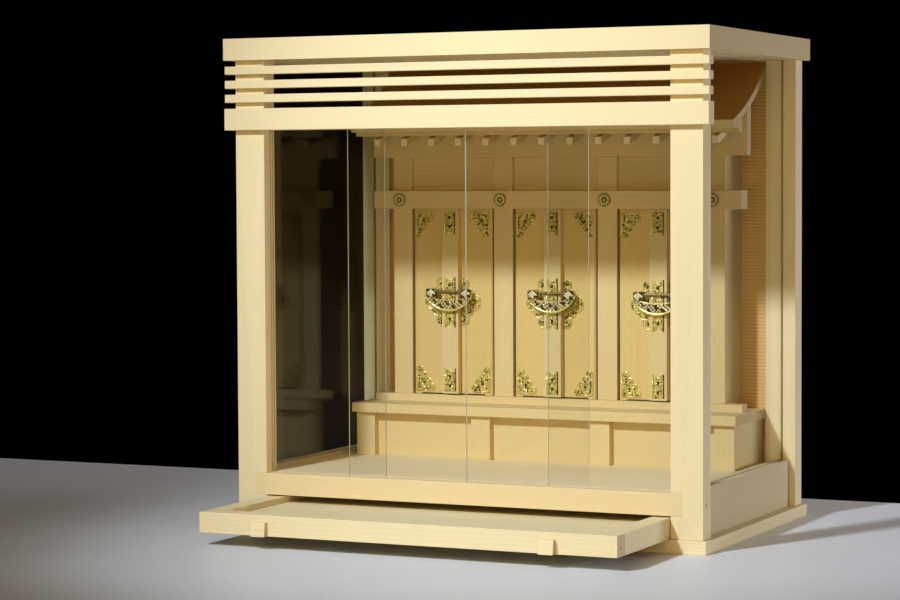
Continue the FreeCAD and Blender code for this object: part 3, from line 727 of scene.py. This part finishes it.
# Dark nails down the strips, and a dark line along their right edges as a painted shadow
def strip_nails_and_shadow(bay):
    nails = Relief("strip_nails_%d" % bay.number, bay.left_body, bay.strip_y, NAILS_AND_SHADE)
    for end, steps in ((bay.low, (STRIP_NAIL_NEAR, STRIP_NAIL_FAR)),
                       (MIDDLE_Z, (-STRIP_NAIL_FAR, STRIP_NAIL_FAR)),
                       (bay.high, (-STRIP_NAIL_FAR, -STRIP_NAIL_NEAR))):
        for step in steps:
            nails.bead(bay.middle, end + step * MM, 1.6 * MM, 2.0 * MM, 2.1 * MM)
    edge_x = bay.middle + STRIP_SHADOW_X * MM
    for end, foot, head in ((bay.low, STRIP_SHADOW_NEAR, STRIP_SHADOW_FAR),
                            (MIDDLE_Z, -STRIP_SHADOW_MIDDLE, STRIP_SHADOW_MIDDLE),
                            (bay.high, -STRIP_SHADOW_FAR, -STRIP_SHADOW_NEAR)):
        nails.tube([(edge_x, end + foot * MM), (edge_x, end + head * MM)], 0.55 * MM, False)
    nails.finish()


# Petals on the lintel's round bosses
PETAL_COUNT, BOSS_COUNT = 12, 4
PETAL_REACH, PETAL_HALF, PETAL_WIDE, PETAL_RISE = 4.9, 2.5, 1.05, 1.2


def boss_petals():
    low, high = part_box("lintel_bosses")
    boss_z = (low.z + high.z) / 2
    radius = (high.z - low.z) / 2
    pitch = (high.x - low.x - 2 * radius) / (BOSS_COUNT - 1)
    relief = Relief("boss_petals", "case", low.y, PETALS)
    for k in range(BOSS_COUNT):
        drawing = Drawing(relief, (low.x + radius + k * pitch, boss_z))
        for petal in range(PETAL_COUNT):
            angle = 2 * math.pi * petal / PETAL_COUNT
            drawing.bead(PETAL_REACH * math.cos(angle), PETAL_REACH * math.sin(angle),
                         PETAL_HALF, PETAL_WIDE, PETAL_RISE, angle, 4, 1)
        drawing.bead(0, 0, 1.3, 1.3, 1.6, 0.4, 6, 2)
    relief.finish(smooth=False)


MIDDLE_Z = (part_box("shrine_sill")[1].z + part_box("lintel")[0].z) / 2
for number in (1, 2, 3):
    bay = Bay(number)
    leaf_brass(bay, "left")
    leaf_brass(bay, "right")
    batten_brass(bay)
    lock_brass(bay)
    strip_nails_and_shadow(bay)
boss_petals()


# Small brads: heads sunk in the wood, on both sides of the case
BRAD_RADIUS, BRAD_DEPTH, BRAD_SINK = 1.5, 0.8, 0.35


def brad(name, body, centre, side):
    tree = Tree(name)
    head_mottle = tree.noise(tree.add("ShaderNodeTexCoord").outputs["Object"], 1500.0, 2.0)
    shader = tree.add("ShaderNodeBsdfPrincipled")
    shader.inputs["Metallic"].default_value = 0.7
    shader.inputs["Roughness"].default_value = 0.4
    tree.link(tree.mix(head_mottle, (0.10, 0.065, 0.04), (0.26, 0.18, 0.11)), shader.inputs["Base Color"])
    bpy.ops.mesh.primitive_cylinder_add(vertices=20, radius=BRAD_RADIUS * MM,
                                        depth=BRAD_DEPTH * MM)
    piece = bpy.context.object
    piece.name = name
    piece.data.materials.append(tree.show(shader))
    turn = Vector((side, 0, 0)).to_track_quat("Z", "Y")
    piece.matrix_world = Matrix.Translation(centre) @ turn.to_matrix().to_4x4()
    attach(piece, body)


tray_low, tray_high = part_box("tray_ends")
post_low, post_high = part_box("posts_front")
for label, side, tray_x, post_x in (("left", -1, tray_low.x, post_low.x),
                                    ("right", 1, tray_high.x, post_high.x)):
    sink = side * BRAD_SINK * MM
    brad("tray_brad_%s" % label, "tray",
         (tray_x - sink, tray_low.y + 8.7 * MM, tray_low.z + 8.1 * MM), side)
    brad("post_brad_%s" % label, "case", (post_x - sink, post_low.y + 9.0 * MM, 46.5 * MM), side)


# Pale floor that ends behind the case
FLOOR_SIDE, FLOOR_FRONT, FLOOR_BACK = 3.5, -4.0, 0.30


def make_floor():
    tree = Tree("studio_floor")
    coords = tree.add("ShaderNodeTexCoord")
    mottle = tree.noise(coords.outputs["Object"], 3.0, 3.0)
    fine = tree.noise(coords.outputs["Object"], 700.0, 2.0)
    shader = tree.add("ShaderNodeBsdfPrincipled")
    tree.link(tree.mix(tree.remap(mottle, 0.3, 0.7), (0.72, 0.745, 0.82), (0.76, 0.785, 0.86)),
              shader.inputs["Base Color"])
    tree.link(tree.remap(fine, 0.3, 0.7, 0.42, 0.55), shader.inputs["Roughness"])
    shader.inputs["Specular IOR Level"].default_value = 0.3
    tree.link(tree.bump(fine, 0.1, 0.2 * MM), shader.inputs["Normal"])
    mesh = bpy.data.meshes.new("studio_floor")
    mesh.from_pydata([(-FLOOR_SIDE, FLOOR_FRONT, 0.0), (FLOOR_SIDE, FLOOR_FRONT, 0.0),
                      (FLOOR_SIDE, FLOOR_BACK, 0.0), (-FLOOR_SIDE, FLOOR_BACK, 0.0)],
                     [], [(0, 1, 2, 3)])
    mesh.materials.append(tree.show(shader))
    floor = bpy.data.objects.new("studio_floor", mesh)
    bpy.context.scene.collection.objects.link(floor)


make_floor()


def add_lamp(data, place, target, watts, colour):
    data.energy = watts
    data.color = colour
    lamp = bpy.data.objects.new(data.name, data)
    lamp.visible_camera = False
    lamp.location = place
    lamp.rotation_euler = (Vector(target) - Vector(place)).to_track_quat("-Z", "Y").to_euler()
    bpy.context.scene.collection.objects.link(lamp)
    return lamp


def spot(name, place, target, watts, radius, cone, colour):
    data = bpy.data.lights.new(name, "SPOT")
    data.shadow_soft_size = radius
    data.spot_size = math.radians(cone)
    data.spot_blend = 1.0
    add_lamp(data, place, target, watts, colour)


def panel(name, place, target, watts, width, height, colour, mirrored=False):
    data = bpy.data.lights.new(name, "AREA")
    data.shape = "RECTANGLE"
    data.size = width
    data.size_y = height
    add_lamp(data, place, target, watts, colour).visible_glossy = mirrored


# A key from the upper left, which leaves the top of the shrine in the header's shade, and fills
COOL, WARM, NEUTRAL = (0.90, 0.97, 1.0), (1.0, 0.68, 0.26), (0.97, 0.95, 1.0)
spot("key", (-0.30, -1.375, 1.155), (0.13, -0.135, 0.185), 102.0, 0.065, 47.2, COOL)
panel("front_fill", (0.75, -2.5, 1.3), (0.0, 0.0, 0.25), 10.0, 1.6, 1.0, WARM, mirrored=True)
panel("low_fill", (0.6, -2.3, 0.22), (0.0, 0.0, 0.30), 10.0, 1.8, 0.4, WARM)
panel("right_fill", (2.0, 1.2, 0.32), (0.2, 0.0, 0.25), 23.0, 1.0, 0.5, NEUTRAL)
panel("back_fill", (-0.3, 2.3, 0.9), (0.0, 0.1, 0.3), 24.0, 1.6, 0.8, (1.0, 0.98, 0.95))

world = bpy.data.worlds.new("dark_studio")
world.use_nodes = True
world.node_tree.nodes["Background"].inputs["Color"].default_value = (0.0, 0.0, 0.0, 1.0)
world.node_tree.nodes["Background"].inputs["Strength"].default_value = 0.0
bpy.context.scene.world = world
